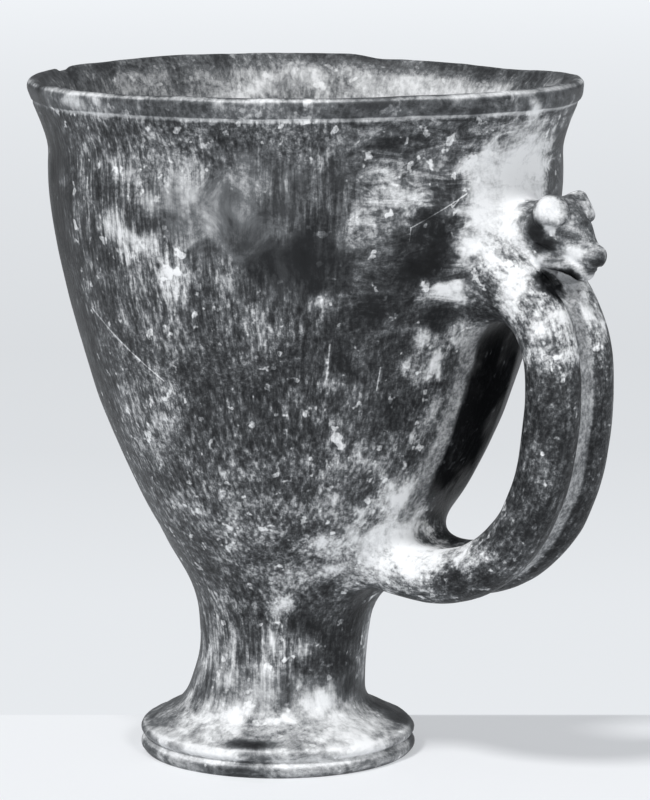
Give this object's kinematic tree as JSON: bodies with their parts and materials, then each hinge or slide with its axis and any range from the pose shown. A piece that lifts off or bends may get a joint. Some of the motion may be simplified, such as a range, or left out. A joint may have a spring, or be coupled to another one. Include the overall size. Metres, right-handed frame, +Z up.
{
  "type": "goblet",
  "caption": "Footed drinking goblet of burnished dark clay, with a deep flaring bowl and a looped double-roll handle topped by a small animal's head.",
  "frame": {"origin": "centre of the foot's flat underside", "axes": "+Z up, +X towards the handle and the animal's head, +Y across the handle"},
  "size_m": [0.1641, 0.1438, 0.18],
  "materials": {
    "clay": "burnished dark grey clay with pale lime deposit"
  },
  "bodies": {
    "root": {"goblet": "clay"}
  },
  "joints": []
}
